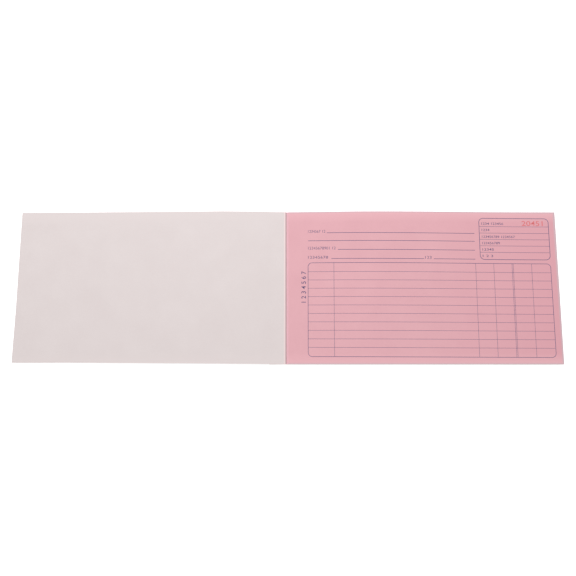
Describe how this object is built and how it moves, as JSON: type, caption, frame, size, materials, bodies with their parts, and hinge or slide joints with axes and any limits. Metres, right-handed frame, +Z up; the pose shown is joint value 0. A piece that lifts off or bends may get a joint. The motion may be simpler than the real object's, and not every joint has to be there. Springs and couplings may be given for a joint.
{
  "type": "invoice book",
  "caption": "Side-stapled duplicate invoice book lying open: card cover turned back to the left, ruled pink forms over white copies on the right.",
  "frame": {"origin": "on the table, under the middle of the fold between the cover and the pages", "axes": "+X across the spread towards the pages' fore edge, +Y up the page along the fold, +Z up"},
  "size_m": [0.4063, 0.1144, 0.0082],
  "materials": {
    "pink_paper": "uncoated thin paper",
    "white_paper": "uncoated thin paper",
    "cover_card": "uncoated solid card",
    "back_board": "solid grey board",
    "cloth_tape": "woven book cloth tape",
    "glue": "dried padding glue",
    "staple_wire": "zinc-plated wire"
  },
  "bodies": {
    "bound_block": {"back_cover": "back_board", "front_cover_margin": "cover_card", "spine_tape": "cloth_tape", "spine_glue": "glue", "staples": "staple_wire", "pink_form_stubs": "pink_paper", "white_copy_stubs": "white_paper", "pink_forms_tier_1": "pink_paper", "white_copies_tier_1": "white_paper", "pink_forms_tier_2": "pink_paper", "white_copies_tier_2": "white_paper", "pink_forms_tier_3": "pink_paper", "white_copies_tier_3": "white_paper", "pink_forms_tier_4": "pink_paper", "white_copies_tier_4": "white_paper", "pink_forms_tier_5": "pink_paper", "white_copies_tier_5": "white_paper"},
    "front_cover": {"front_cover": "cover_card"},
    "pink_form_1": {"pink_form_1": "pink_paper"},
    "white_copy_1": {"white_copy_1": "white_paper"},
    "pink_form_2": {"pink_form_2": "pink_paper"},
    "white_copy_2": {"white_copy_2": "white_paper"},
    "pink_form_3": {"pink_form_3": "pink_paper"},
    "white_copy_3": {"white_copy_3": "white_paper"},
    "pink_form_4": {"pink_form_4": "pink_paper"},
    "white_copy_4": {"white_copy_4": "white_paper"}
  },
  "joints": [
    {"name": "cover_fold", "type": "hinge", "parent": "bound_block", "child": "front_cover", "pos_m": [0, 0, 0.00779], "axis": [0, -1, 0], "range_deg": [-182.3, 0]},
    {"name": "pink_form_1_turn", "type": "hinge", "parent": "bound_block", "child": "pink_form_1", "pos_m": [0, 0, 0.00779], "axis": [0, -1, 0], "range_deg": [0, 176]},
    {"name": "white_copy_1_turn", "type": "hinge", "parent": "bound_block", "child": "white_copy_1", "pos_m": [0, 0, 0.00779], "axis": [0, -1, 0], "range_deg": [0, 175]},
    {"name": "pink_form_2_turn", "type": "hinge", "parent": "bound_block", "child": "pink_form_2", "pos_m": [0, 0, 0.00779], "axis": [0, -1, 0], "range_deg": [0, 174]},
    {"name": "white_copy_2_turn", "type": "hinge", "parent": "bound_block", "child": "white_copy_2", "pos_m": [0, 0, 0.00779], "axis": [0, -1, 0], "range_deg": [0, 172.9]},
    {"name": "pink_form_3_turn", "type": "hinge", "parent": "bound_block", "child": "pink_form_3", "pos_m": [0, 0, 0.00779], "axis": [0, -1, 0], "range_deg": [0, 171.9]},
    {"name": "white_copy_3_turn", "type": "hinge", "parent": "bound_block", "child": "white_copy_3", "pos_m": [0, 0, 0.00779], "axis": [0, -1, 0], "range_deg": [0, 170.8]},
    {"name": "pink_form_4_turn", "type": "hinge", "parent": "bound_block", "child": "pink_form_4", "pos_m": [0, 0, 0.00779], "axis": [0, -1, 0], "range_deg": [0, 169.8]},
    {"name": "white_copy_4_turn", "type": "hinge", "parent": "bound_block", "child": "white_copy_4", "pos_m": [0, 0, 0.00779], "axis": [0, -1, 0], "range_deg": [0, 168.7]}
  ],
  "couplings": [
    {"joint": "white_copy_1_turn", "follows": "pink_form_1_turn", "ratio": 0.994},
    {"joint": "pink_form_2_turn", "follows": "pink_form_1_turn", "ratio": 0.988},
    {"joint": "white_copy_2_turn", "follows": "pink_form_1_turn", "ratio": 0.982},
    {"joint": "pink_form_3_turn", "follows": "pink_form_1_turn", "ratio": 0.976},
    {"joint": "white_copy_3_turn", "follows": "pink_form_1_turn", "ratio": 0.97},
    {"joint": "pink_form_4_turn", "follows": "pink_form_1_turn", "ratio": 0.964},
    {"joint": "white_copy_4_turn", "follows": "pink_form_1_turn", "ratio": 0.958}
  ]
}
